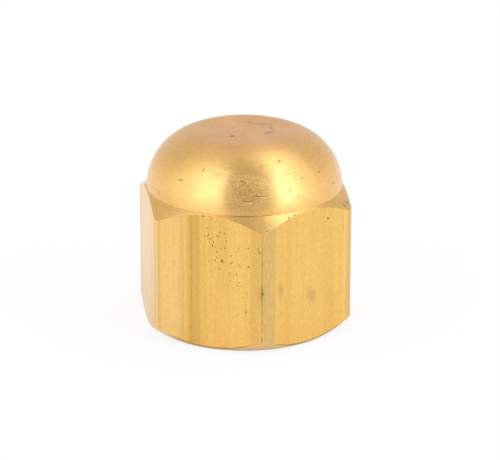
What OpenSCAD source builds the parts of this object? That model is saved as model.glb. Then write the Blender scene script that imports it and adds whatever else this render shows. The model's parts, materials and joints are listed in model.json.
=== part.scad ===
// Flare cap: a blind nut turned from drawn brass hexagon bar. It screws over a male
// flare fitting and seals on the fitting's 45 degree nose.
// The origin is the centre of the open mouth, and +Z runs up the axis to the crown.
// A corner of the hexagon points to -Y, so two of the flats face +X and -X.

/* [Hexagon bar] */
// Width of the bar across its flats
across_flats = 19.05; // [16.5:0.05:24]
// Radius of the drawn bar's long corners
corner_r = 1.2; // [0.3:0.05:3]
// Angle at which a round corner runs out into the flats, in degrees
corner_runout = 8; // [5:1:15]

/* [Crown] */
// Height from the mouth to the flat on top of the crown
overall_h = 19.05; // [17.8:0.05:24]
// Height from the mouth to the crease where the crown begins
hex_h = 13.65; // [10:0.05:15]
// How far the crown is turned in below the flats
crown_step = 0.1; // [0.05:0.05:1]
// Radius of the crown's rounded edge
crown_edge_r = 5.45; // [1:0.05:6.5]
// Slope of the chamfer from the crease down over the corners, in degrees
shoulder_angle = 43; // [20:1:60]

/* [Base] */
// How far the round base is turned in below the flats
base_step = 0.325; // [0.1:0.005:0.8]
// Slope at which the rounded chamfer leaves the base, in degrees
base_angle = 33; // [20:1:45]
// Radius of that chamfer's profile, which steepens up over the corners
base_round_r = 8; // [6:0.5:12]

/* [Thread] */
// Wall between the bottom of the thread and each flat
thread_wall = 1.5875; // [1.2:0.0125:2.5]
// Threads in one inch
threads_per_inch = 18; // [12:1:28]
// Height from the mouth to the end of the thread
thread_end = 9; // [5:0.1:9.6]
// How far the countersunk mouth opens past the thread
mouth_clearance = 0.35; // [0.1:0.05:0.6]
// How far the run-out groove is cut past the thread
groove_clearance = 0.12; // [0.05:0.01:0.4]
// Width of the run-out groove above the thread
groove_w = 1.8; // [1:0.1:2.4]

/* [Flare seat] */
// Angle between the conical seat and the axis, in degrees
seat_angle = 45; // [40:1:60]
// Diameter of the flat at the bottom of the seat
seat_floor_d = 7; // [4:0.1:9]

/* [Hidden] */
// Smoothness of the round surfaces
$fn = 180;
// How far a cutting shape runs past the face that it opens
overcut = 1;

flat_r = across_flats / 2;
corner_centre = (flat_r - corner_r * cos(corner_runout)) / cos(30);
corner_reach = corner_centre + corner_r;
// Half width between the necks on which the round corners sit
neck_r = corner_centre + corner_r * cos(corner_runout) * cos(30);

crown_r = flat_r - crown_step;
crown_flat_r = crown_r - crown_edge_r;
edge_centre_z = max(hex_h, overall_h - crown_edge_r);

// The turned outline runs past the corners, so that only the chamfers cut them
turn_r = corner_reach + overcut;
base_r = flat_r - base_step;
base_centre_r = base_r - base_round_r * sin(base_angle);
base_centre_z = base_round_r * cos(base_angle);
shoulder_drop = (turn_r - crown_r) * tan(shoulder_angle);

pitch = 25.4 / threads_per_inch;
// Major radius of the thread, which is 15.875 mm across in the standard size
thread_r = flat_r - thread_wall;
// Basic minor radius of a 60 degree thread, which is the bore that the tap is run into
bore_r = thread_r - 5 / 8 * pitch * cos(30);
mouth_r = thread_r + mouth_clearance;
groove_r = thread_r + groove_clearance;
groove_end = thread_end + groove_w;
floor_r = seat_floor_d / 2;
floor_z = groove_end + (bore_r - floor_r) / tan(seat_angle);

// Section of the drawn bar: a hexagon with a round corner on each neck
module bar_section() {
    intersection() {
        rotate(30) circle(r = flat_r / cos(30), $fn = 6);
        union() {
            circle(r = neck_r / cos(30), $fn = 6);
            for (i = [0 : 5])
                rotate(60 * i + 30) translate([corner_centre, 0]) circle(r = corner_r);
        }
    }
}

// Half outline of the crown: a wide rounded edge, faced off flat on top
module crown_outline() {
    intersection() {
        square([crown_r, overall_h]);
        union() {
            square([crown_r, edge_centre_z]);
            square([crown_flat_r, overall_h]);
            translate([crown_flat_r, edge_centre_z]) circle(r = crown_edge_r);
        }
    }
}

// Half outline of the body below the crown, with the chamfers that trim the corners
module body_outline() {
    intersection() {
        polygon([
            [0, 0],
            [turn_r, 0],
            [turn_r, hex_h - shoulder_drop],
            [crown_r, hex_h],
            [0, hex_h]
        ]);
        union() {
            square([base_r, hex_h]);
            translate([0, base_centre_z]) square([turn_r, hex_h]);
            translate([base_centre_r, base_centre_z]) circle(r = base_round_r);
        }
    }
}

// Half outline of the inside: countersunk mouth, tapped bore, run-out groove, conical seat
module inside_outline() {
    polygon([
        [0, -overcut],
        [mouth_r + overcut, -overcut],
        [bore_r, mouth_r - bore_r],
        [bore_r, thread_end],
        [groove_r, thread_end],
        [groove_r, groove_end],
        [bore_r, groove_end],
        [floor_r, floor_z],
        [0, floor_z]
    ]);
}

module flare_cap() {
    color([0.90, 0.70, 0.38])
    difference() {
        intersection() {
            linear_extrude(overall_h) bar_section();
            rotate_extrude() union() {
                body_outline();
                crown_outline();
            }
        }
        rotate_extrude() inside_outline();
    }
}

flare_cap();
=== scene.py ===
import json
import math
from collections import namedtuple

import bpy
from mathutils import Matrix, Vector


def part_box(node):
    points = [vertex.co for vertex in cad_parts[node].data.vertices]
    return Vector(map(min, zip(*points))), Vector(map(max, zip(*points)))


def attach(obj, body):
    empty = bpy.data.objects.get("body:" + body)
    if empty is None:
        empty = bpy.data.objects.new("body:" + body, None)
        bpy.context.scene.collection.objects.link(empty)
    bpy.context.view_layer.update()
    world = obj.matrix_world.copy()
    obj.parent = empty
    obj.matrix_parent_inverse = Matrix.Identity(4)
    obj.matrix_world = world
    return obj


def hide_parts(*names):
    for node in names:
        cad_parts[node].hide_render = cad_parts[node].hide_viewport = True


bl_info = {
    "name": "Flare Cap",
    "version": (1, 0, 0),
    "blender": (4, 5, 0),
    "location": "3D View > Sidebar > Flare Cap",
    "description": "Turns a brass flare cap from hexagon bar, taps it, finishes it and sets it on a stage",
    "category": "Object",
}

MM = 0.001
# Points nearer than this are one point
MERGE_REACH = 0.001 * MM
# Half of the angle that one flat of the hexagon spans
HALF_FLAT = math.radians(30)
# Lean of the thread's flanks
FLANK = math.radians(30)
# Full height of a material's fine relief
OUTSIDE_RELIEF = 0.012 * MM
INSIDE_RELIEF = 0.004 * MM
SENSOR_WIDTH_MM = 36
# Order of the finishes in each piece's material slots
TURNED, DRAWN, INSIDE = range(3)

# A scratch, pit or spot: where it lies, how far it falls to the right in degrees, and its size in mm
Mark = namedtuple("Mark", "place slant length width")
# A line or band along the bar: azimuth and widths in degrees, and how strongly it shows
Strip = namedtuple("Strip", "azimuth width soft strength")
# A soft run of light: what it follows, where it starts and ends, and its level at both ends
Fade = namedtuple("Fade", "along start end first last")
# What a finish follows: the place in mm, the way round the axis, the place on the lathe, radius and height
Bearings = namedtuple("Bearings", "place around lathe radius height")

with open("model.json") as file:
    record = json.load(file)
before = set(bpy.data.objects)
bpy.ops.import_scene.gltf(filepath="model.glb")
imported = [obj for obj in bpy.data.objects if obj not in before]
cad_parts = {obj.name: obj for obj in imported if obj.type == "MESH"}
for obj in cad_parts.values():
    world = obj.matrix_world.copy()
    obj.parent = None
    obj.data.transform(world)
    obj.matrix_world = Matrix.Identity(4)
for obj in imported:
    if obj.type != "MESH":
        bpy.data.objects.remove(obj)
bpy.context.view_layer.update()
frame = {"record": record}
CAP_LOW, CAP_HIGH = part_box("flare_cap")
THREAD_MOUNT = next(mount for mount in frame["record"]["mounts"] if mount["name"] == "thread")


def linear(code):
    """Turns an sRGB hex colour into the linear colour that shaders and lamps take"""
    channels = [int(code[i:i + 2], 16) / 255 for i in (0, 2, 4)]
    light = [c / 12.92 if c <= 0.04045 else ((c + 0.055) / 1.055) ** 2.4 for c in channels]
    return (*light, 1.0)


def length(name, description, default):
    """A length that the sidebar shows in the scene's unit"""
    return bpy.props.FloatProperty(
        name=name, description=description, default=default, unit="LENGTH", subtype="DISTANCE", precision=5)


def angle(name, description, degrees):
    """An angle that the sidebar shows in degrees"""
    return bpy.props.FloatProperty(
        name=name, description=description, default=math.radians(degrees), unit="ROTATION", subtype="ANGLE")


def amount(name, description, default):
    """A plain number, such as a brightness"""
    return bpy.props.FloatProperty(name=name, description=description, default=default, precision=3)


def colour(name, description, code):
    """A colour, written as an sRGB hex value"""
    return bpy.props.FloatVectorProperty(
        name=name, description=description, default=linear(code), size=4, subtype="COLOR", min=0.0, max=1.0)


class CapSizes(bpy.types.PropertyGroup):
    """Real sizes of the cap"""

    across_flats: length(
        "Across Flats", "Width of the hexagon bar between opposite flats", CAP_HIGH.x - CAP_LOW.x)
    corner_r: length("Corner Radius", "Radius of the drawn bar's long corners", 1.2 * MM)
    edge_break: length("Edge Break", "Width to which the turned edges are worn on the flats", 0.07 * MM)

    overall_h: length("Height", "Height from the mouth to the flat on the crown", CAP_HIGH.z - CAP_LOW.z)
    crease_h: length("Crease Height", "Height from the mouth to the crease under the crown", 13.65 * MM)
    crown_step: length("Crown Step", "How far the crown is turned in below the flats", 0.1 * MM)
    crown_edge_r: length("Crown Radius", "Radius of the crown's rounded edge", 5.45 * MM)
    crown_blend_r: length("Blend Radius", "Radius where the flat on top runs into the rounded edge", 2 * MM)
    crease_w: length(
        "Crease Width", "Width of the line that the tool's corner left at the crease", 0.06 * MM)
    pip_r: length("Pip Radius", "Radius of the pip that parting off left on the axis", 0.22 * MM)
    pip_h: length("Pip Height", "Height of the pip that parting off left on the axis", 0.03 * MM)
    shoulder_angle: angle("Shoulder Slope", "Slope of the chamfer over the corners", 43)

    base_step: length("Base Step", "How far the round base is turned in below the flats", 0.325 * MM)
    base_angle: angle("Base Slope", "Slope at which the rounded chamfer leaves the base", 33)
    base_round_r: length("Base Radius", "Radius of the profile of the chamfer at the base", 8 * MM)

    bore_r: length("Bore Radius", "Minor radius of the thread", THREAD_MOUNT["dims"]["r_mm"] * MM)
    pitch: length("Pitch", "Distance from one turn of the thread to the next", 25.4 / 18 * MM)
    thread_end: length("Thread End", "Height from the mouth to the end of the thread", 9 * MM)
    mouth_clearance: length("Mouth Clearance", "How far the countersink opens past the thread", 0.35 * MM)
    groove_clearance: length("Groove Clearance", "How far the groove is cut past the thread", 0.12 * MM)
    groove_w: length("Groove Width", "Width of the run-out groove above the thread", 1.8 * MM)
    seat_floor_r: length("Seat Floor Radius", "Radius of the flat below the conical seat", 3.5 * MM)
    seat_angle: angle("Seat Angle", "Angle between the conical seat and the axis", 45)


class CapFinish(bpy.types.PropertyGroup):
    """Colours of the brass, of what lies on it, and of the shade and sheen painted on it"""

    drawn_colour: colour("Drawn Brass", "Colour of the flats, as the die left them", "FACC70")
    drawn_warm: colour("Warm Drawn Brass", "Colour of the redder streaks in the flats", "F6C26A")
    streak_colour: colour("Draw Lines", "Colour of the dull lines along the flats", "C8974A")
    corner_colour: colour(
        "Die Marks", "Colour of the dull strips that the die left at the corners", "D6B074")
    # Also painted as the glints on bright scratches and nicks, and as the pale sheen over the left flat
    bare_and_sheen_colour: colour("Bare Metal", "Colour of bright scratches and worn edges", "FBDDB4")
    turned_colour: colour("Turned Brass", "Colour of the crown and the chamfers", "F9C975")
    turned_warm: colour("Warm Turned Brass", "Colour of the redder clouds on the crown", "FAC07A")
    inside_colour: colour("Cut Brass", "Colour of the fresh cut inside", "F0C674")
    tarnish_colour: colour("Tarnish", "Colour of dull spots and stains", "AC8E66")
    # Also painted as shade round the foot, along the crease and along the base edge of the flats
    dirt_and_shade_colour: colour("Dirt", "Colour of what lies in pits and scratches", "62380A")


class CapStage(bpy.types.PropertyGroup):
    """Camera, floor and lamps"""

    view_azimuth: angle("View Azimuth", "Direction of the camera, from -Y towards +X", -9.81)
    view_elevation: angle("View Elevation", "Height of the camera above the horizon", 19.84)
    view_roll: angle("View Roll", "Turn of the camera about its own axis", 0.155)
    view_distance: length("View Distance", "Distance from the camera to the cap", 273.7 * MM)
    view_aim: bpy.props.FloatVectorProperty(
        name="View Aim", description="Point that the camera looks at",
        default=(0.505 * MM, -0.295 * MM, 8.956 * MM), unit="LENGTH", subtype="TRANSLATION", precision=6)
    focal_length: amount("Focal Length", f"Focal length in mm on a {SENSOR_WIDTH_MM} mm wide sensor", 203.3)

    floor_size: length("Floor Size", "Width of the floor", 1200 * MM)
    floor_colour: colour("Floor", "Colour of the floor", "FAFAFA")
    room_colour: colour("Room", "Colour of the room, as the metal mirrors it", "FFFCFC")
    sheet_colour: colour("Sheets", "Colour of the wide sheets of light at both sides", "E6EEFF")
    lamp_colour: colour("Lamps", "Colour of the softboxes, which are daylight lamps", "B4D0FF")

    lamp_distance: length("Lamp Distance", "Distance from the cap's axis to each softbox", 500 * MM)
    left_azimuth: angle("Left Azimuth", "Direction of the left softbox, reckoned from the camera's", -42)
    left_width: length("Left Width", "Width of the left softbox", 340 * MM)
    left_height: length("Left Height", "Height of the left softbox, which stands on the floor", 800 * MM)
    left_radiance: amount("Left Radiance", "Brightness of the left softbox as the metal mirrors it", 0.6)
    right_azimuth: angle("Right Azimuth", "Direction of the right softbox, reckoned from the camera's", 53)
    right_width: length("Right Width", "Width of the right softbox", 240 * MM)
    right_height: length("Right Height", "Height of the right softbox, which stands on the floor", 900 * MM)
    right_radiance: amount("Right Radiance", "Brightness of the right softbox as the metal mirrors it", 1.05)


def add_node(tree, kind, inputs=None, **settings):
    """Adds a node, sets its settings, and gives its inputs values or links from other nodes' sockets"""
    node = tree.nodes.new(kind)
    for name, value in settings.items():
        setattr(node, name, value)
    for name, value in (inputs or {}).items():
        if isinstance(value, bpy.types.Node):
            value = next(output for output in value.outputs if output.enabled)
        if isinstance(value, bpy.types.NodeSocket):
            tree.links.new(value, node.inputs[name])
        else:
            node.inputs[name].default_value = value
    return node


def new_material(name):
    """A new material with an empty node tree"""
    material = bpy.data.materials.new(name)
    material.use_nodes = True
    material.node_tree.nodes.clear()
    return material


def deselect_all():
    """Leaves nothing selected, so that the next operator acts on the new piece alone"""
    if bpy.context.mode != "OBJECT":
        bpy.ops.object.mode_set(mode="OBJECT")
    bpy.ops.object.select_all(action="DESELECT")


def name_active(name):
    """Names the object that an operator has just added"""
    piece = bpy.context.active_object
    piece.name = name
    piece.data.name = name
    return piece


def around_axis(azimuth, elevation, distance):
    """A place at a distance from the cap's axis. Azimuth runs from -Y towards +X."""
    level = distance * math.cos(elevation)
    return Vector((level * math.sin(azimuth), -level * math.cos(azimuth), distance * math.sin(elevation)))


def thread_depth(sizes):
    """Depth of the basic 60 degree thread form"""
    return 5 / 8 * sizes.pitch * math.cos(FLANK)


def seat_floor_h(sizes):
    """Height of the flat at the bottom of the conical seat"""
    seat_h = (sizes.bore_r - sizes.seat_floor_r) / math.tan(sizes.seat_angle)
    return sizes.thread_end + sizes.groove_w + seat_h


def drawn_bar(sizes):
    """A length of hexagon bar with round corners, one of them at -Y"""
    deselect_all()
    flat_r = sizes.across_flats / 2
    bpy.ops.mesh.primitive_cylinder_add(
        vertices=6, radius=flat_r / math.cos(HALF_FLAT), depth=2 * sizes.overall_h,
        location=(0, 0, sizes.overall_h / 2))
    bar = name_active("drawn_bar")
    bpy.ops.object.transform_apply(location=True, rotation=True, scale=True)
    bpy.ops.object.mode_set(mode="EDIT")
    bpy.ops.mesh.select_all(action="DESELECT")
    bpy.ops.object.mode_set(mode="OBJECT")
    bpy.context.tool_settings.mesh_select_mode = (False, True, False)
    for edge in bar.data.edges:
        low, high = (bar.data.vertices[i].co for i in edge.vertices)
        edge.select = abs(high.z - low.z) > sizes.overall_h
    bpy.ops.object.mode_set(mode="EDIT")
    # The profile is a little fuller than an arc, because the corners run out softly into the flats
    bpy.ops.mesh.bevel(
        offset_type="OFFSET", offset=sizes.corner_r * math.tan(HALF_FLAT), segments=16, profile=0.565,
        affect="EDGES")
    bpy.ops.object.mode_set(mode="OBJECT")
    return bar


class Outline:
    """Half outline of a turned piece in the XZ plane, drawn by extruding one vertex"""

    def __init__(self, name, x, z):
        deselect_all()
        bpy.context.tool_settings.mesh_select_mode = (True, False, False)
        bpy.ops.mesh.primitive_plane_add(size=MM, location=(0, 0, 0))
        self.piece = name_active(name)
        bpy.ops.object.mode_set(mode="EDIT")
        bpy.ops.mesh.merge(type="CENTER")
        bpy.ops.transform.translate(value=(x, 0, z))
        self.x, self.z = x, z

    def line(self, x, z):
        """Draws a straight stretch to a point"""
        bpy.ops.mesh.extrude_region_move(
            TRANSFORM_OT_translate={"value": (x - self.x, 0, z - self.z)})
        self.x, self.z = x, z

    def arc(self, centre_x, centre_z, turn, steps):
        """Draws an arc about a centre. A positive turn runs down the outside."""
        bpy.ops.mesh.spin(steps=steps, angle=-turn, center=(centre_x, 0, centre_z), axis=(0, 1, 0))
        reach = Vector((self.x - centre_x, self.z - centre_z))
        self.x = centre_x + reach.x * math.cos(turn) + reach.y * math.sin(turn)
        self.z = centre_z - reach.x * math.sin(turn) + reach.y * math.cos(turn)

    def spin(self, steps):
        """Turns the outline about the axis into a closed solid"""
        bpy.ops.mesh.select_all(action="SELECT")
        bpy.ops.mesh.spin(steps=steps, angle=2 * math.pi, center=(0, 0, 0), axis=(0, 0, 1))
        bpy.ops.mesh.select_all(action="SELECT")
        bpy.ops.mesh.remove_doubles(threshold=MERGE_REACH)
        bpy.ops.mesh.normals_make_consistent(inside=False)
        bpy.ops.object.mode_set(mode="OBJECT")
        return self.piece


def turned_blank(sizes):
    """The outside and the inside as they leave the lathe, before the thread and on round stock"""
    crown_r = sizes.across_flats / 2 - sizes.crown_step
    arc_r = sizes.crown_edge_r
    arc_x, arc_z = crown_r - arc_r, sizes.crease_h
    blend_r = sizes.crown_blend_r
    blend_z = sizes.overall_h - blend_r
    blend_x = arc_x + math.sqrt((arc_r - blend_r) ** 2 - (blend_z - arc_z) ** 2)
    blend_turn = math.atan2(blend_x - arc_x, blend_z - arc_z)

    # The outline runs past the bar's corners, so that only the chamfers cut them
    turn_r = crown_r + 2 * MM
    shoulder_drop = (turn_r - crown_r) * math.tan(sizes.shoulder_angle)

    base_r = sizes.across_flats / 2 - sizes.base_step
    round_x = base_r - sizes.base_round_r * math.sin(sizes.base_angle)
    round_z = sizes.base_round_r * math.cos(sizes.base_angle)
    steep = math.asin((turn_r - round_x) / sizes.base_round_r)

    thread_r = sizes.bore_r + thread_depth(sizes)
    mouth_r = thread_r + sizes.mouth_clearance
    groove_r = thread_r + sizes.groove_clearance
    groove_end = sizes.thread_end + sizes.groove_w
    floor_h = seat_floor_h(sizes)

    outline = Outline("flare_cap_brass", 0, sizes.overall_h + sizes.pip_h)
    outline.line(sizes.pip_r / 2, sizes.overall_h + sizes.pip_h)
    outline.line(sizes.pip_r, sizes.overall_h)
    # Rings of faces that keep the flat on top flat in the shading
    for share in (0.25, 0.5, 0.75, 0.92, 1):
        outline.line(blend_x * share, sizes.overall_h)
    outline.arc(blend_x, blend_z, blend_turn, steps=10)
    outline.arc(arc_x, arc_z, math.pi / 2 - blend_turn, steps=40)
    outline.line(crown_r - sizes.crease_w / 2, sizes.crease_h - sizes.crease_w / 2)
    outline.line(crown_r + sizes.crease_w / 4, sizes.crease_h - sizes.crease_w)
    outline.line(turn_r, sizes.crease_h - shoulder_drop)
    outline.line(turn_r, round_z - sizes.base_round_r * math.cos(steep))
    outline.arc(round_x, round_z, steep - sizes.base_angle, steps=24)
    outline.line(mouth_r, 0)
    outline.line(sizes.bore_r, mouth_r - sizes.bore_r)
    outline.line(sizes.bore_r, sizes.thread_end)
    outline.line(groove_r, sizes.thread_end)
    outline.line(groove_r, groove_end)
    outline.line(sizes.bore_r, groove_end)
    outline.line(sizes.seat_floor_r, floor_h)
    outline.line(0, floor_h)
    return outline.spin(steps=240)


def thread_tap(sizes):
    """The metal that the tap takes out: a 60 degree thread form, wound up through the bore"""
    # The form reaches into the open bore, so that its foot doesn't lie in the bore's wall
    foot_r = sizes.bore_r - 0.12 * MM
    tip_r = sizes.bore_r + thread_depth(sizes)
    half_tip = sizes.pitch / 16
    half_foot = half_tip + (tip_r - foot_r) * math.tan(FLANK)
    # It winds from below the mouth to the middle of the groove
    turns = 8
    steps_a_turn = 96
    start = sizes.thread_end + sizes.groove_w / 2 - turns * sizes.pitch

    tap = Outline("thread_tap", foot_r, start - half_foot)
    tap.line(tip_r, start - half_tip)
    tap.line(tip_r, start + half_tip)
    tap.line(foot_r, start + half_foot)
    tap.line(foot_r, start - half_foot)
    bpy.ops.mesh.select_all(action="SELECT")
    bpy.ops.mesh.remove_doubles(threshold=MERGE_REACH)
    bpy.ops.object.mode_set(mode="OBJECT")
    bpy.ops.object.modifier_add(type="SCREW")
    screw = tap.piece.modifiers[-1]
    screw.axis = "Z"
    screw.screw_offset = sizes.pitch
    screw.iterations = turns
    screw.steps = steps_a_turn
    screw.render_steps = steps_a_turn
    bpy.ops.object.modifier_apply(modifier=screw.name)
    bpy.ops.object.mode_set(mode="EDIT")
    bpy.context.tool_settings.mesh_select_mode = (False, True, False)
    bpy.ops.mesh.select_all(action="SELECT")
    bpy.ops.mesh.fill_holes(sides=0)
    bpy.ops.mesh.select_all(action="SELECT")
    bpy.ops.mesh.normals_make_consistent(inside=False)
    bpy.ops.object.mode_set(mode="OBJECT")
    return tap.piece


def cut(piece, tool, operation):
    """Cuts a piece with a tool and takes the tool away"""
    deselect_all()
    faces = len(piece.data.polygons)
    bpy.context.view_layer.objects.active = piece
    piece.select_set(True)
    bpy.ops.object.modifier_add(type="BOOLEAN")
    boolean = piece.modifiers[-1]
    boolean.operation = operation
    boolean.object = tool
    boolean.solver = "EXACT"
    bpy.ops.object.modifier_apply(modifier=boolean.name)
    if len(piece.data.polygons) in (0, faces):
        raise RuntimeError(f"{tool.name} didn't cut {piece.name}")
    bpy.data.objects.remove(tool)


def break_edges(piece, width):
    """Rounds the edges where the turned faces cut the drawn ones"""
    kinds = {}
    for polygon in piece.data.polygons:
        for key in polygon.edge_keys:
            kinds.setdefault(key, set()).add(polygon.material_index)
    bpy.ops.object.mode_set(mode="EDIT")
    bpy.context.tool_settings.mesh_select_mode = (False, True, False)
    bpy.ops.mesh.select_all(action="DESELECT")
    bpy.ops.object.mode_set(mode="OBJECT")
    for edge in piece.data.edges:
        edge.select = kinds[edge.key] == {TURNED, DRAWN}
    bpy.ops.object.mode_set(mode="EDIT")
    bpy.ops.mesh.bevel(
        offset_type="OFFSET", offset=width / 2, segments=2, affect="EDGES", clamp_overlap=True)
    bpy.ops.object.mode_set(mode="OBJECT")


def merge_near(piece):
    """Merges points that the cuts left almost in one place"""
    bpy.context.view_layer.objects.active = piece
    bpy.ops.object.mode_set(mode="EDIT")
    bpy.context.tool_settings.mesh_select_mode = (True, False, False)
    bpy.ops.mesh.select_all(action="SELECT")
    # A cut leaves its points in another order each time, and the merge depends on it. They are sorted by
    # their distance from a cursor that stands askew, so that hardly any two are equally far.
    cursor = bpy.context.scene.cursor
    cursor.location = (13.1 * MM, 29.7 * MM, 41.3 * MM)
    bpy.ops.mesh.sort_elements(type="CURSOR_DISTANCE", elements={"VERT", "EDGE", "FACE"})
    cursor.location = (0, 0, 0)
    bpy.ops.mesh.remove_doubles(threshold=MERGE_REACH)
    bpy.ops.object.mode_set(mode="OBJECT")


def nick_tools(sizes):
    """Small balls where knocks have notched the edges of the chamfers"""
    # Azimuth in degrees, and height and radius in mm
    knocks = (
        (6.2, 12.75, 0.12),
        (15.5, 13.35, 0.14),
        (19.5, 13.5, 0.12),
        (1.0, 12.45, 0.14),
        (-33.4, 13.62, 0.12),
        (57.6, 12.85, 0.2),
        (-50.5, 13.0, 0.12),
        (118.0, 12.35, 0.2),
        (-152.0, 13.6, 0.14),
    )
    tools = []
    for azimuth, height, ball_r in knocks:
        _, side_r, _, _ = on_side(sizes, azimuth, height)
        place = around_axis(math.radians(azimuth), 0, side_r * MM) + Vector((0, 0, height * MM))
        deselect_all()
        bpy.ops.mesh.primitive_ico_sphere_add(subdivisions=3, radius=ball_r * MM, location=place)
        bpy.ops.transform.resize(value=(1, 1, 0.7))
        tools.append(name_active("nick"))
    deselect_all()
    for tool in tools:
        tool.select_set(True)
    bpy.context.view_layer.objects.active = tools[0]
    bpy.ops.object.join()
    bpy.ops.object.transform_apply(location=True, rotation=True, scale=True)
    return tools[0]


def on_crown(sizes, azimuth, height):
    """Place of a mark on the crown's rounded edge: azimuth, radius and height in mm, and lean"""
    lean = math.asin(min(1, (height * MM - sizes.crease_h) / sizes.crown_edge_r))
    centre = sizes.across_flats / 2 - sizes.crown_step - sizes.crown_edge_r
    return azimuth, (centre + sizes.crown_edge_r * math.cos(lean)) / MM, height, lean


def on_side(sizes, azimuth, height):
    """Place of a mark on the flats, or on the chamfers just over them"""
    off = math.radians(azimuth % 60 - 30)
    return azimuth, sizes.across_flats / 2 / math.cos(off) / MM, height, 0


def on_top(sizes, azimuth, radius):
    """Place of a mark on the flat of the crown"""
    return azimuth, radius, sizes.overall_h / MM, math.pi / 2


def mark_mask(tree, place, marks, rim):
    """Masks marks: 1 at their heart, fading to 0 over a rim"""
    # How far a mark reaches out of the surface and into it, so that it holds on a round one
    half_depth_mm = 0.8
    mask = None
    for mark in marks:
        azimuth, radius, height, lean = mark.place
        turn = Matrix.Rotation(math.radians(azimuth), 3, "Z")
        face = turn @ Matrix.Rotation(-lean, 3, "X") @ Matrix.Rotation(math.radians(mark.slant), 3, "Y")
        local = add_node(tree, "ShaderNodeMapping", {
            "Vector": place,
            "Location": turn @ Vector((0, -radius, height)),
            "Rotation": face.to_euler(),
            "Scale": (mark.length / 2, half_depth_mm, mark.width / 2),
        }, vector_type="TEXTURE")
        reach = add_node(tree, "ShaderNodeVectorMath", {0: local}, operation="LENGTH")
        inside = add_node(tree, "ShaderNodeMapRange", {
            "Value": reach, "From Min": 1 + rim, "From Max": 1 - rim}, interpolation_type="SMOOTHSTEP")
        if mask:
            inside = add_node(tree, "ShaderNodeMath", {0: mask, 1: inside}, operation="MAXIMUM")
        mask = inside
    return mask


def strip_mask(tree, azimuth, strips):
    """Masks lines and bands that run along the bar"""
    mask = None
    for strip in strips:
        off = add_node(tree, "ShaderNodeMath", {0: azimuth, 1: strip.azimuth}, operation="SUBTRACT")
        away = add_node(tree, "ShaderNodeMath", {0: off}, operation="ABSOLUTE")
        inside = add_node(tree, "ShaderNodeMapRange", {
            "Value": away, "From Min": strip.width / 2 + strip.soft, "From Max": strip.width / 2,
            "To Max": strip.strength}, interpolation_type="SMOOTHSTEP")
        if mask:
            inside = add_node(tree, "ShaderNodeMath", {0: mask, 1: inside}, operation="MAXIMUM")
        mask = inside
    return mask


def azimuth_of(tree, vector):
    """Azimuth of a place or a direction in degrees, from -Y towards +X"""
    axes = add_node(tree, "ShaderNodeSeparateXYZ", {"Vector": vector})
    front = add_node(tree, "ShaderNodeMath", {0: axes.outputs["Y"], 1: -1.0}, operation="MULTIPLY")
    turn = add_node(tree, "ShaderNodeMath", {0: axes.outputs["X"], 1: front}, operation="ARCTAN2")
    return add_node(tree, "ShaderNodeMath", {0: turn}, operation="DEGREES")


def tinted(tree, metal, layers):
    """Lays thin layers over a metal, each with the share that it covers and its colour"""
    for cover, tint in layers:
        metal = add_node(tree, "ShaderNodeMix", {"Factor": cover, "A": metal, "B": tint}, data_type="RGBA")
    return metal


def engraved(tree, forms, full_height):
    """Adds up forms, each with its share of the full height, into a surface's fine relief"""
    relief = 0.0
    for form, share in forms:
        relief = add_node(tree, "ShaderNodeMath", {0: form, 1: share, 2: relief}, operation="MULTIPLY_ADD")
    return add_node(tree, "ShaderNodeBump", {"Height": relief, "Strength": 1.0, "Distance": full_height})


def new_brass(name):
    """A new brass with its bearings, in mm, so that a pattern's scale is its grains to a millimetre"""
    material = new_material(name)
    tree = material.node_tree
    texture = add_node(tree, "ShaderNodeTexCoord")
    place = add_node(tree, "ShaderNodeMapping", {
        "Vector": texture.outputs["Object"], "Scale": (1 / MM, 1 / MM, 1 / MM)})
    level = add_node(tree, "ShaderNodeVectorMath", {0: place, 1: (1, 1, 0)}, operation="MULTIPLY")
    radius = add_node(tree, "ShaderNodeVectorMath", {0: level}, operation="LENGTH")
    outward = add_node(tree, "ShaderNodeVectorMath", {0: level}, operation="NORMALIZE")
    around = add_node(tree, "ShaderNodeVectorMath", {0: (0, 0, 1), 1: outward}, operation="CROSS_PRODUCT")
    height = add_node(tree, "ShaderNodeSeparateXYZ", {"Vector": place}).outputs["Z"]
    # The tool follows the profile, along which the radius less half the height changes all the way
    feed = add_node(tree, "ShaderNodeMath", {0: height, 1: -0.5, 2: radius}, operation="MULTIPLY_ADD")
    run = add_node(tree, "ShaderNodeCombineXYZ", {"Z": feed})
    lathe = add_node(tree, "ShaderNodeVectorMath", {0: outward, 1: run}, operation="ADD")
    return material, tree, Bearings(place, around, lathe, radius, height)


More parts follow.
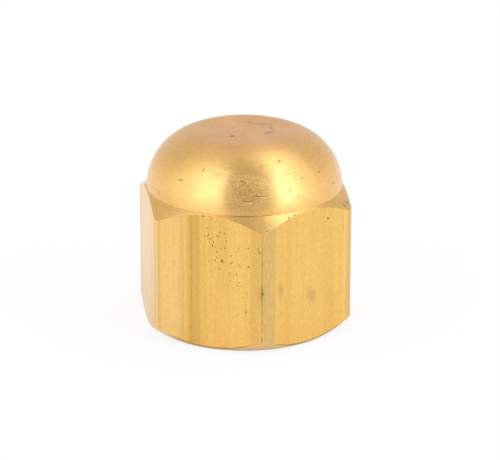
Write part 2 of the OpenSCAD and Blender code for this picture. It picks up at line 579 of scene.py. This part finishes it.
def turned_brass(sizes, finish):
    """Free-cutting brass, turned on a lathe and much handled since"""
    # The tool's rings blur the mirror along the profile, so a lamp shows as an upright column. Handling has
    # left scratches with grit in them, and a thin film that makes the yellow metal pinkish in places. Shade
    # is painted along the crease and round the foot, and glints on bright scratches and nicks.
    material, tree, at = new_brass("turned_brass")
    top = sizes.overall_h / MM
    crease = sizes.crease_h / MM
    foot_r = (sizes.across_flats / 2 - sizes.base_step) / MM

    # Clouds of tarnish about 2 mm wide, and more of it on the flat of the crown
    cloud_place = add_node(tree, "ShaderNodeMapping", {"Vector": at.place, "Scale": (0.45, 0.45, 0.6)})
    clouds = add_node(tree, "ShaderNodeTexNoise", {
        "Vector": cloud_place, "Scale": 1.0, "Detail": 5.0, "Roughness": 0.6})
    cloud = add_node(tree, "ShaderNodeMapRange", {
        "Value": clouds, "From Min": 0.42, "From Max": 0.7, "To Max": 0.5})
    summit = add_node(tree, "ShaderNodeMapRange", {
        "Value": at.height, "From Min": top - 0.5, "From Max": top - 0.1, "To Max": 0.75},
        interpolation_type="SMOOTHSTEP")
    warmth = add_node(tree, "ShaderNodeMath", {0: cloud, 1: summit}, operation="ADD", use_clamp=True)

    # Rings 0.11 mm apart, as the tool's feed left them, in patches that fade in and out round the axis
    ring_place = add_node(tree, "ShaderNodeMapping", {"Vector": at.lathe, "Scale": (7, 7, 9)})
    rings = add_node(tree, "ShaderNodeTexNoise", {
        "Vector": ring_place, "Scale": 1.0, "Detail": 3.0, "Roughness": 0.65})
    ring_tone = add_node(tree, "ShaderNodeMapRange", {
        "Value": rings, "From Min": 0.45, "From Max": 0.7, "To Max": 0.34})

    # Flecks about 0.15 mm wide, which show most where the crown was rubbed
    fleck_place = add_node(tree, "ShaderNodeMapping", {"Vector": at.place, "Scale": (6, 6, 7)})
    flecks = add_node(tree, "ShaderNodeTexNoise", {
        "Vector": fleck_place, "Scale": 1.0, "Detail": 3.0, "Roughness": 0.7, "Distortion": 0.6})
    grain = add_node(tree, "ShaderNodeMapRange", {
        "Value": flecks, "From Min": 0.42, "From Max": 0.68, "To Max": 0.3})
    rubbed = mark_mask(tree, at.place, [
        Mark(on_crown(sizes, -7.5, 15.9), 0, 4.2, 3.4),
    ], 0.4)
    brushed = mark_mask(tree, at.place, [
        Mark(on_crown(sizes, 14, 17.6), 14, 4.6, 1.8),
        Mark(on_crown(sizes, -30, 17.4), -8, 4.2, 1.8),
        Mark(on_crown(sizes, -4, 15.2), 0, 3.4, 1.4),
    ], 0.6)
    dash = add_node(tree, "ShaderNodeMapRange", {
        "Value": rings, "From Min": 0.54, "From Max": 0.62, "To Max": 0.45})
    dashes = add_node(tree, "ShaderNodeMath", {0: dash, 1: brushed}, operation="MULTIPLY")
    fleck = add_node(tree, "ShaderNodeMapRange", {"Value": flecks, "From Min": 0.52, "From Max": 0.62})
    rubbing = add_node(tree, "ShaderNodeMath", {0: fleck, 1: rubbed}, operation="MULTIPLY")
    rubbing_tone = add_node(tree, "ShaderNodeMath", {0: rubbing, 1: 0.5}, operation="MULTIPLY")

    # Scratches and specks, which hold grit, and painted shade along the crease
    scratches = mark_mask(tree, at.place, [
        # The first is painted shade: a dark line along the crease, in the groove that the tool's corner left
        Mark(on_side(sizes, -10.0, 13.64), 0, 4.4, 0.09),
        Mark(on_crown(sizes, -10.4, 16.7), 28, 0.75, 0.1),
        Mark(on_crown(sizes, -17.2, 16.35), 50, 0.25, 0.08),
        Mark(on_crown(sizes, -16.0, 16.15), -20, 0.18, 0.07),
        Mark(on_crown(sizes, -1.5, 15.45), 0, 1.7, 0.07),
        Mark(on_crown(sizes, -8.0, 15.05), 2, 1.3, 0.07),
        Mark(on_crown(sizes, -2.0, 16.35), 70, 0.3, 0.06),
        Mark(on_crown(sizes, 1.0, 16.0), -30, 0.35, 0.05),
        Mark(on_crown(sizes, -12.0, 15.7), 12, 0.5, 0.05),
        Mark(on_crown(sizes, -38.7, 17.4), 90, 0.45, 0.08),
        Mark(on_crown(sizes, -51.9, 16.2), 0, 0.22, 0.2),
        Mark(on_crown(sizes, -54.0, 16.2), 10, 0.3, 0.1),
        Mark(on_crown(sizes, 17.8, 18.1), 20, 0.25, 0.16),
        Mark(on_crown(sizes, 16.0, 18.0), 60, 0.16, 0.1),
        Mark(on_crown(sizes, 28.8, 16.5), 0, 0.18, 0.14),
        Mark(on_crown(sizes, 18.7, 15.7), 40, 0.2, 0.12),
        Mark(on_crown(sizes, 23.3, 15.0), 0, 0.16, 0.12),
        Mark(on_crown(sizes, 45.5, 16.5), 30, 0.24, 0.16),
        Mark(on_crown(sizes, 55.8, 15.0), 0, 0.2, 0.12),
        Mark(on_top(sizes, -41, 2.2), 0, 0.45, 0.5),
        Mark(on_side(sizes, 15.4, 13.3), 10, 0.2, 0.1),
        Mark(on_side(sizes, 19.6, 13.4), 0, 0.18, 0.1),
        Mark(on_side(sizes, 57.8, 12.8), 60, 0.4, 0.2),
        Mark(on_side(sizes, 1.4, 12.5), -30, 0.3, 0.1),
    ], 0.35)
    scratch_and_crease_shade = add_node(tree, "ShaderNodeMath", {0: scratches, 1: 0.75}, operation="MULTIPLY")
    # Bright scratches and nicks: bare metal, painted paler still with the glints that they catch
    bright = mark_mask(tree, at.place, [
        Mark(on_crown(sizes, -7.2, 16.8), -62, 0.65, 0.07),
        Mark(on_crown(sizes, -6.2, 14.85), 0, 0.5, 0.08),
        Mark(on_crown(sizes, 44.6, 16.3), 0, 0.22, 0.12),
        Mark(on_crown(sizes, -4.5, 16.0), -40, 0.35, 0.05),
        Mark(on_crown(sizes, -13.0, 16.3), 60, 0.25, 0.05),
        Mark(on_side(sizes, 6.4, 12.7), -35, 0.5, 0.12),
        Mark(on_side(sizes, 1.4, 12.4), 0, 0.16, 0.1),
        Mark(on_side(sizes, -55.5, 12.2), -12, 0.8, 0.1),
    ], 0.4)

    # Dull stains, and painted shade round the foot, where the cap stands on the floor
    stains = mark_mask(tree, at.place, [
        Mark(on_crown(sizes, -69.6, 14.25), 0, 0.45, 0.4),
        Mark(on_top(sizes, 63, 2.5), 30, 1.2, 0.7),
        Mark(on_top(sizes, 155, 2.4), 10, 1.3, 0.34),
        Mark(on_top(sizes, 128, 2.6), -10, 1.4, 0.34),
        Mark(on_top(sizes, 92, 2.7), 0, 1.5, 0.3),
        Mark(on_side(sizes, 62, 12.9), 0, 1.0, 0.5),
    ], 0.6)
    stain_tone = add_node(tree, "ShaderNodeMath", {0: stains, 1: 0.6}, operation="MULTIPLY")
    # Painted shade: the rim of the foot darkens towards the floor
    low = add_node(tree, "ShaderNodeMapRange", {
        "Value": at.height, "From Min": 0.35, "From Max": 0.1, "To Max": 0.5})
    rim = add_node(tree, "ShaderNodeMapRange", {
        "Value": at.radius, "From Min": foot_r - 0.3, "From Max": foot_r - 0.05})
    foot = add_node(tree, "ShaderNodeMath", {0: low, 1: rim}, operation="MULTIPLY")
    dull = add_node(tree, "ShaderNodeMath", {0: stain_tone, 1: foot}, operation="MAXIMUM")
    tarnish_and_foot_shade = tinted(tree, finish.tarnish_colour, [(foot, finish.dirt_and_shade_colour)])

    metal = tinted(tree, finish.turned_colour, [
        (warmth, finish.turned_warm),
        (ring_tone, finish.streak_colour),
        (dashes, finish.tarnish_colour),
        (grain, finish.streak_colour),
        (rubbing_tone, finish.tarnish_colour),
        (scratch_and_crease_shade, finish.dirt_and_shade_colour),
        (bright, finish.bare_and_sheen_colour),
        (dull, tarnish_and_foot_shade),
    ])
    relief = engraved(
        tree, [(rings, 0.4), (flecks, 0.3), (rubbing, -1.1), (scratches, -1.5)], OUTSIDE_RELIEF)

    # The chamfers were cut with a shorter feed, so they mirror more sharply than the crown
    by_feed = add_node(tree, "ShaderNodeMapRange", {
        "Value": at.height, "From Min": crease - 0.05, "From Max": crease + 0.05,
        "To Min": 0.2, "To Max": 0.32})
    dull_speck = add_node(tree, "ShaderNodeMapRange", {
        "Value": flecks, "From Min": 0.46, "From Max": 0.41, "To Max": 0.35})
    by_wear = add_node(tree, "ShaderNodeMath", {
        0: dull_speck, 1: rubbed, 2: by_feed}, operation="MULTIPLY_ADD")
    roughness = add_node(tree, "ShaderNodeMath", {0: clouds, 1: 0.05, 2: by_wear}, operation="MULTIPLY_ADD")
    # The quarter turn lays the blur across the rings. The coat is a trace of oil, which whitens highlights.
    shader = add_node(tree, "ShaderNodeBsdfPrincipled", {
        "Base Color": metal, "Metallic": 1.0, "Roughness": roughness, "Anisotropic": 0.8,
        "Anisotropic Rotation": 0.25, "Tangent": at.around, "Normal": relief,
        "Coat Weight": 0.4, "Coat Roughness": 0.3})
    add_node(tree, "ShaderNodeOutputMaterial", {"Surface": shader})
    return material


def drawn_brass(sizes, finish):
    """Brass bar with its skin as the die left it, drawn cold"""
    # Fine lines along the bar spread what a flat mirrors to both sides, so each flat shows one almost even
    # tone. The die's corners rubbed hardest, and left dull grey strips there.
    material, tree, at = new_brass("drawn_brass")
    azimuth = azimuth_of(tree, at.place)

    # Bands of warmer metal about a millimetre wide, which run the whole length of the bar
    band_place = add_node(tree, "ShaderNodeMapping", {"Vector": at.place, "Scale": (0.9, 0.9, 0.03)})
    bands = add_node(tree, "ShaderNodeTexNoise", {
        "Vector": band_place, "Scale": 1.0, "Detail": 2.0, "Roughness": 0.5})
    band = add_node(tree, "ShaderNodeMapRange", {
        "Value": bands, "From Min": 0.38, "From Max": 0.62, "To Max": 0.6})
    # Draw lines are finer than the picture can show, so these are 0.14 mm wide and up to 8 mm long
    line_place = add_node(tree, "ShaderNodeMapping", {"Vector": at.place, "Scale": (7, 7, 0.12)})
    lines = add_node(tree, "ShaderNodeTexNoise", {
        "Vector": line_place, "Scale": 1.0, "Detail": 3.0, "Roughness": 0.6})
    # The die dragged harder over some parts of the flats
    hard = strip_mask(tree, azimuth, [
        Strip(-30.0, 24.0, 10.0, 0.36),
        Strip(100.0, 14.0, 12.0, 0.32),
        Strip(158.0, 10.0, 10.0, 0.34),
        Strip(-140.0, 16.0, 12.0, 0.3),
    ])
    drag = add_node(tree, "ShaderNodeMath", {0: hard, 1: 0.19}, operation="MAXIMUM")
    line = add_node(tree, "ShaderNodeMapRange", {
        "Value": lines, "From Min": 0.44, "From Max": 0.7, "To Max": drag})
    # The grain of the metal, 0.2 mm wide and 0.3 mm long
    mottle_place = add_node(tree, "ShaderNodeMapping", {"Vector": at.place, "Scale": (5, 5, 3)})
    mottle = add_node(tree, "ShaderNodeTexNoise", {
        "Vector": mottle_place, "Scale": 1.0, "Detail": 2.0, "Roughness": 0.9})
    patch = add_node(tree, "ShaderNodeMapRange", {
        "Value": mottle, "From Min": 0.42, "From Max": 0.66, "To Max": 0.28})

    # Where the die rubbed: dull bands on the flats, and grey strips beside the corners
    dragged = strip_mask(tree, azimuth, [
        Strip(-39.3, 5.0, 2.5, 0.42),
        Strip(-46.5, 0.8, 2.5, 0.2),
        Strip(-33.0, 0.6, 1.5, 0.15),
        Strip(-4.2, 3.4, 1.6, 0.3),
        Strip(15.5, 1.0, 2.0, 0.15),
    ])
    rubbed = strip_mask(tree, azimuth, [
        Strip(3.1, 6.0, 0.9, 0.95),
        Strip(58.5, 2.4, 0.5, 0.5),
        Strip(-58.2, 0.8, 0.8, 0.9),
        Strip(117.5, 2.8, 0.9, 0.6),
        Strip(176.8, 4.0, 0.9, 0.6),
        Strip(-122.5, 2.4, 0.9, 0.5),
    ])
    # Strokes of rubbing, 0.11 mm wide and 0.7 mm long
    grain_place = add_node(tree, "ShaderNodeMapping", {"Vector": at.place, "Scale": (9, 9, 1.4)})
    grain = add_node(tree, "ShaderNodeTexNoise", {
        "Vector": grain_place, "Scale": 1.0, "Detail": 3.0, "Roughness": 0.7})
    worn = add_node(tree, "ShaderNodeMapRange", {"Value": grain, "From Min": 0.26, "From Max": 0.6})
    rub = add_node(tree, "ShaderNodeMath", {0: rubbed, 1: worn}, operation="MULTIPLY")
    # Bare metal along two corners, and a pale sheen painted over the left flat and past its corner, as it
    # shows at a glancing view
    bare_and_sheen = strip_mask(tree, azimuth, [
        Strip(55.6, 0.4, 0.5, 0.3),
        Strip(-59.8, 0.6, 0.6, 0.5),
        Strip(-66.5, 5.0, 2.0, 0.3),
        Strip(-53.0, 8.0, 4.0, 0.14),
        Strip(-94.0, 30.0, 8.0, 0.55),
    ])

    # Dirt in the lines beside the corners, in pits and in nicks, and painted shade along the base edge
    seams = strip_mask(tree, azimuth, [
        Strip(-0.8, 0.25, 0.35, 0.75),
        Strip(-40.6, 0.1, 0.3, 0.3),
        Strip(60.4, 0.5, 0.5, 0.6),
        Strip(119.3, 0.3, 0.4, 0.6),
        Strip(179.3, 0.25, 0.4, 0.6),
        Strip(-120.8, 0.3, 0.4, 0.5),
    ])
    seam_and_edge_shade = add_node(tree, "ShaderNodeMath", {0: seams, 1: worn}, operation="MULTIPLY")
    # Pits about 0.1 mm wide, one to each cell of 0.3 by 0.5 mm
    pit_place = add_node(tree, "ShaderNodeMapping", {"Vector": at.place, "Scale": (3.6, 3.6, 1.9)})
    cells = add_node(tree, "ShaderNodeTexVoronoi", {"Vector": pit_place, "Scale": 1.0})
    pitted = mark_mask(tree, at.place, [
        Mark(on_side(sizes, -21.5, 9.8), 60, 8.2, 3.6),
    ], 0.5)
    pit = add_node(tree, "ShaderNodeMapRange", {
        "Value": cells.outputs["Distance"], "From Min": 0.23, "From Max": 0.13})
    pits = add_node(tree, "ShaderNodeMath", {0: pit, 1: pitted}, operation="MULTIPLY")
    holes = mark_mask(tree, at.place, [
        Mark(on_side(sizes, -22.3, 9.2), 0, 0.2, 0.25),
        Mark(on_side(sizes, -7.6, 10.75), 0, 0.12, 0.16),
        Mark(on_side(sizes, -7.5, 8.9), 0, 0.14, 0.18),
        Mark(on_side(sizes, -2.9, 10.8), 0, 0.12, 0.16),
        Mark(on_side(sizes, -2.2, 10.5), 0, 0.1, 0.3),
        Mark(on_side(sizes, -0.6, 6.35), 0, 0.2, 0.22),
        Mark(on_side(sizes, -8.7, 4.35), 0, 0.13, 0.18),
        Mark(on_side(sizes, 44.1, 12.15), 30, 0.3, 0.15),
        Mark(on_side(sizes, -33.4, 13.4), 0, 0.16, 0.2),
    ], 0.35)
    hollow = add_node(tree, "ShaderNodeMath", {0: pits, 1: holes}, operation="MAXIMUM")
    hollow_tone = add_node(tree, "ShaderNodeMath", {0: hollow, 1: 0.85}, operation="MULTIPLY")

    # Painted shade along the edge where the chamfer at the base cuts the flats, reckoned from its profile's
    # centre
    profile = add_node(tree, "ShaderNodeCombineXYZ", {"X": at.radius, "Y": at.height})
    round_r = sizes.base_round_r / MM
    centre_r = (sizes.across_flats / 2 - sizes.base_step) / MM - round_r * math.sin(sizes.base_angle)
    centre_h = round_r * math.cos(sizes.base_angle)
    reach = add_node(tree, "ShaderNodeVectorMath", {
        0: profile, 1: (centre_r, centre_h, 0)}, operation="DISTANCE")
    below = add_node(tree, "ShaderNodeMapRange", {
        "Value": at.height, "From Min": 1.1, "From Max": 0.7, "To Max": 0.7})
    base_edge_shade = add_node(tree, "ShaderNodeMapRange", {
        "Value": reach, "From Min": round_r - 0.12, "From Max": round_r - 0.02})
    base_edge_shade = add_node(tree, "ShaderNodeMath", {0: base_edge_shade, 1: below}, operation="MULTIPLY")
    seam_and_edge_shade = add_node(tree, "ShaderNodeMath", {0: seam_and_edge_shade, 1: base_edge_shade}, operation="MAXIMUM")
    dirt_and_edge_shade = add_node(tree, "ShaderNodeMath", {0: hollow_tone, 1: seam_and_edge_shade}, operation="MAXIMUM")

    # Stains that water left
    stains = mark_mask(tree, at.place, [
        Mark(on_side(sizes, 32.1, 4.9), 60, 1.7, 1.0),
        Mark(on_side(sizes, 10.3, 6.3), 90, 1.2, 0.6),
        Mark(on_side(sizes, -1.0, 6.2), 90, 1.6, 0.7),
    ], 0.7)
    stain_tone = add_node(tree, "ShaderNodeMath", {0: stains, 1: 0.35}, operation="MULTIPLY")

    metal = tinted(tree, finish.drawn_colour, [
        (band, finish.drawn_warm),
        (line, finish.streak_colour),
        (patch, finish.streak_colour),
        (dragged, finish.streak_colour),
        (rub, finish.corner_colour),
        (bare_and_sheen, finish.bare_and_sheen_colour),
        (stain_tone, finish.tarnish_colour),
        (dirt_and_edge_shade, finish.dirt_and_shade_colour),
    ])
    relief = engraved(tree, [(lines, 0.3), (hollow, -2.0)], OUTSIDE_RELIEF)
    # Without a turn, the blur lies across the draw lines
    shader = add_node(tree, "ShaderNodeBsdfPrincipled", {
        "Base Color": metal, "Metallic": 1.0, "Roughness": 0.27, "Anisotropic": 0.5,
        "Tangent": at.around, "Normal": relief})
    add_node(tree, "ShaderNodeOutputMaterial", {"Surface": shader})
    return material


def tapped_brass(finish):
    """Brass as the tap and the boring tool cut it, in the bore and the thread"""
    # It hasn't been handled, so it is a clearer yellow than the outside, with fine rings from the cut
    material, tree, at = new_brass("tapped_brass")
    # Rings 0.08 mm apart
    ring_place = add_node(tree, "ShaderNodeMapping", {"Vector": at.place, "Scale": (0.4, 0.4, 12)})
    rings = add_node(tree, "ShaderNodeTexNoise", {
        "Vector": ring_place, "Scale": 1.0, "Detail": 2.0, "Roughness": 0.5})
    ring_tone = add_node(tree, "ShaderNodeMapRange", {
        "Value": rings, "From Min": 0.3, "From Max": 0.7, "To Max": 0.5})
    metal = tinted(tree, finish.inside_colour, [(ring_tone, finish.streak_colour)])
    relief = engraved(tree, [(rings, 1.0)], INSIDE_RELIEF)
    shader = add_node(tree, "ShaderNodeBsdfPrincipled", {
        "Base Color": metal, "Metallic": 1.0, "Roughness": 0.28, "Normal": relief})
    add_node(tree, "ShaderNodeOutputMaterial", {"Surface": shader})
    return material


class FLARECAP_OT_make_cap(bpy.types.Operator):
    """Turn the cap from hexagon bar, tap it and give it its finishes"""

    bl_idname = "flarecap.make_cap"
    bl_label = "Make Cap"

    def execute(self, context):
        sizes = context.scene.cap_sizes
        finish = context.scene.cap_finish
        brasses = (turned_brass(sizes, finish), drawn_brass(sizes, finish), tapped_brass(finish))

        bar = drawn_bar(sizes)
        cap = turned_blank(sizes)
        tap = thread_tap(sizes)
        nicks = nick_tools(sizes)
        for piece, kind in ((bar, DRAWN), (cap, TURNED), (tap, INSIDE), (nicks, TURNED)):
            for brass in brasses:
                piece.data.materials.append(brass)
            for polygon in piece.data.polygons:
                polygon.material_index = kind
        self.finish_inside(cap, sizes)

        cut(cap, bar, "INTERSECT")
        cut(cap, tap, "DIFFERENCE")
        break_edges(cap, sizes.edge_break)
        cut(cap, nicks, "DIFFERENCE")
        merge_near(cap)
        # Only turns sharper than this angle stay edges in the shading, and the large faces lead it
        bpy.ops.object.shade_smooth_by_angle(angle=math.radians(25))
        bpy.ops.object.modifier_add(type="WEIGHTED_NORMAL")
        cap.modifiers[-1].keep_sharp = True
        bpy.ops.object.modifier_apply(modifier=cap.modifiers[-1].name)
        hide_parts("flare_cap")
        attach(cap, "root")
        return {"FINISHED"}

    def finish_inside(self, cap, sizes):
        """Gives the faces of the bore, the groove and the seat their own brass"""
        inside_r = sizes.across_flats / 2 - 1 * MM
        low = 0.01 * MM
        high = seat_floor_h(sizes) + 0.1 * MM
        for polygon in cap.data.polygons:
            centre = polygon.center
            if low < centre.z < high and centre.xy.length < inside_r:
                polygon.material_index = INSIDE


class FLARECAP_OT_make_stage(bpy.types.Operator):
    """Add the camera, the floor, the lamps and the room"""

    bl_idname = "flarecap.make_stage"
    bl_label = "Make Stage"

    def execute(self, context):
        stage = context.scene.cap_stage
        self.add_camera(context, stage)
        self.add_floor(stage)
        self.add_room(context, stage)
        for side in ("left", "right"):
            self.add_softbox(stage, side)
        return {"FINISHED"}

    def add_camera(self, context, stage):
        """Looks down on the cap from the side of a corner"""
        deselect_all()
        back = around_axis(stage.view_azimuth, stage.view_elevation, 1)
        bpy.ops.object.camera_add()
        camera = name_active("camera")
        camera.location = Vector(stage.view_aim) + back * stage.view_distance
        turn = (-back).to_track_quat("-Z", "Y").to_matrix() @ Matrix.Rotation(stage.view_roll, 3, "Z")
        camera.rotation_euler = turn.to_euler()
        camera.data.lens = stage.focal_length
        camera.data.sensor_width = SENSOR_WIDTH_MM
        camera.data.clip_start = 10 * MM
        context.scene.camera = camera

    def add_floor(self, stage):
        """Matt white card that fades into a white background, keeps the shadow and is clear from below"""
        # How much of the card's colour gives way to plain white, as the camera and as the brass see it
        seen_white = 0.85
        mirrored_white = 0.5
        # The card lies just under the cap, so that the two don't share a plane
        card_h = -0.02 * MM
        deselect_all()
        bpy.ops.mesh.primitive_plane_add(size=stage.floor_size, location=(0, 0, card_h))
        floor = name_active("floor")
        bpy.ops.object.transform_apply(location=True, rotation=True, scale=True)
        material = new_material("white_card")
        tree = material.node_tree
        ray = add_node(tree, "ShaderNodeLightPath")
        seen = add_node(tree, "ShaderNodeMath", {
            0: ray.outputs["Is Camera Ray"], 1: ray.outputs["Is Transmission Ray"]}, operation="MAXIMUM")
        seen = add_node(tree, "ShaderNodeMath", {0: seen, 1: seen_white}, operation="MULTIPLY")
        mirrored = add_node(tree, "ShaderNodeMath", {
            0: ray.outputs["Is Glossy Ray"], 1: mirrored_white}, operation="MULTIPLY")
        white = add_node(tree, "ShaderNodeMath", {0: seen, 1: mirrored}, operation="MAXIMUM")
        card = add_node(tree, "ShaderNodeBsdfDiffuse", {"Color": stage.floor_colour})
        glow = add_node(tree, "ShaderNodeEmission", {"Color": (1, 1, 1, 1), "Strength": 1.0})
        above = add_node(tree, "ShaderNodeMixShader", {0: white, 1: card, 2: glow})
        side = add_node(tree, "ShaderNodeNewGeometry")
        below = add_node(tree, "ShaderNodeBsdfTransparent")
        whole = add_node(tree, "ShaderNodeMixShader", {0: side.outputs["Backfacing"], 1: above, 2: below})
        add_node(tree, "ShaderNodeOutputMaterial", {"Surface": whole})
        floor.data.materials.append(material)

    def add_room(self, context, stage):
        """The pale room that the metal mirrors, with a sheet of light at each side of a dim gap"""
        world = bpy.data.worlds.new("room")
        world.use_nodes = True
        tree = world.node_tree
        tree.nodes.clear()
        direction = add_node(tree, "ShaderNodeTexCoord").outputs["Generated"]
        up = add_node(tree, "ShaderNodeSeparateXYZ", {"Vector": direction}).outputs["Z"]
        view = math.degrees(stage.view_azimuth)
        azimuth = azimuth_of(tree, direction)
        turn = add_node(tree, "ShaderNodeMath", {0: azimuth, 1: view}, operation="SUBTRACT")
        wide = add_node(tree, "ShaderNodeMath", {0: turn}, operation="ABSOLUTE")

        # Behind the camera the room is dim, less so overhead, and it is paler to both sides. Angles are in
        # degrees from the camera's own azimuth, and heights are the direction's rise, which is 1 overhead.
        dim = self.light_level(tree, [Fade(up, 0.4, 0.9, 0.2, 0.62)])
        room = self.light_level(tree, [Fade(wide, 12, 34, dim, 0.74)])
        # Paler low down at the sides, which lights the edges of the cap
        walls = self.light_level(tree, [
            Fade(wide, 60, 125, 0.0, 0.3), Fade(wide, 130, 155, 1.0, 0.0), Fade(up, 0.0, 0.4, 1.0, 0.0)])
        room = add_node(tree, "ShaderNodeMath", {0: room, 1: walls}, operation="ADD")

        # The sheets' upright inner edges bound the darker gap in the crown. The right one leans outwards, so
        # its edge is set further out as it rises. Each ends below a height, and fades out to its side.
        sheets = 0.0
        for side, edge, lean, top, end, strength in (
                (-1, 24, 1.0, 0.84, 0.97, 1.15),
                (1, 36, 0.45, 0.96, 0.998, 1.35)):
            leaning = add_node(tree, "ShaderNodeMapRange", {
                "Value": up, "From Min": 0.6, "From Max": 1.0, "To Min": side, "To Max": side * lean})
            away = add_node(tree, "ShaderNodeMath", {0: turn, 1: leaning}, operation="MULTIPLY")
            sheet = self.light_level(tree, [
                Fade(away, edge, edge + 3, 0.0, strength), Fade(away, 54, 127, 1.0, 0.0),
                Fade(up, top, end, 1.0, 0.0)])
            sheets = add_node(tree, "ShaderNodeMath", {0: sheets, 1: sheet}, operation="ADD")

        room = add_node(tree, "ShaderNodeBackground", {"Color": stage.room_colour, "Strength": room})
        sheets = add_node(tree, "ShaderNodeBackground", {"Color": stage.sheet_colour, "Strength": sheets})
        light = add_node(tree, "ShaderNodeAddShader", {0: room, 1: sheets})
        white = add_node(tree, "ShaderNodeBackground", {"Color": (1, 1, 1, 1), "Strength": 1.0})
        ray = add_node(tree, "ShaderNodeLightPath")
        whole = add_node(tree, "ShaderNodeMixShader", {0: ray.outputs["Is Camera Ray"], 1: light, 2: white})
        add_node(tree, "ShaderNodeOutputWorld", {"Surface": whole})
        context.scene.world = world
        context.scene.view_settings.view_transform = "Standard"

    def light_level(self, tree, fades):
        """Multiplies soft runs of light into one level"""
        level = 1.0
        for fade in fades:
            run = add_node(tree, "ShaderNodeMapRange", {
                "Value": fade.along, "From Min": fade.start, "From Max": fade.end,
                "To Min": fade.first, "To Max": fade.last}, interpolation_type="SMOOTHSTEP")
            level = add_node(tree, "ShaderNodeMath", {0: level, 1: run}, operation="MULTIPLY")
        return level

    def add_softbox(self, stage, side):
        """An upright area lamp on the floor, at one side of the camera"""
        azimuth, width, height, radiance = (
            getattr(stage, f"{side}_{size}") for size in ("azimuth", "width", "height", "radiance"))
        out = around_axis(azimuth + stage.view_azimuth, 0, 1)
        deselect_all()
        bpy.ops.object.light_add(type="AREA")
        lamp = name_active(f"softbox_{side}")
        lamp.location = out * stage.lamp_distance + Vector((0, 0, height / 2))
        lamp.rotation_euler = out.to_track_quat("Z", "Y").to_euler()
        lamp.data.shape = "RECTANGLE"
        lamp.data.size = width
        lamp.data.size_y = height
        # A flat lamp of even brightness sends out pi times its radiance from each square metre
        lamp.data.energy = radiance * math.pi * width * height
        lamp.data.color = stage.lamp_colour[:3]


class FLARECAP_PT_sidebar(bpy.types.Panel):
    """Shows the buttons that make the cap and its stage, with the cap's sizes and finishes and the stage's
    settings
    """

    bl_idname = "FLARECAP_PT_sidebar"
    bl_label = "Flare Cap"
    bl_space_type = "VIEW_3D"
    bl_region_type = "UI"
    bl_category = "Flare Cap"

    def draw(self, context):
        scene = context.scene
        parts = (
            ("flarecap.make_cap", scene.cap_sizes),
            (None, scene.cap_finish),
            ("flarecap.make_stage", scene.cap_stage),
        )
        for operator, group in parts:
            box = self.layout.box()
            if operator:
                box.operator(operator)
            for name in group.__annotations__:
                box.prop(group, name)


CLASSES = (
    CapSizes,
    CapFinish,
    CapStage,
    FLARECAP_OT_make_cap,
    FLARECAP_OT_make_stage,
    FLARECAP_PT_sidebar,
)


def register():
    for cls in CLASSES:
        bpy.utils.register_class(cls)
    bpy.types.Scene.cap_sizes = bpy.props.PointerProperty(type=CapSizes)
    bpy.types.Scene.cap_finish = bpy.props.PointerProperty(type=CapFinish)
    bpy.types.Scene.cap_stage = bpy.props.PointerProperty(type=CapStage)


def unregister():
    del bpy.types.Scene.cap_stage
    del bpy.types.Scene.cap_finish
    del bpy.types.Scene.cap_sizes
    for cls in reversed(CLASSES):
        bpy.utils.unregister_class(cls)


def main():
    """Makes the cap and its stage"""
    register()
    bpy.ops.flarecap.make_cap()
    bpy.ops.flarecap.make_stage()


if __name__ == "__main__":
    main()
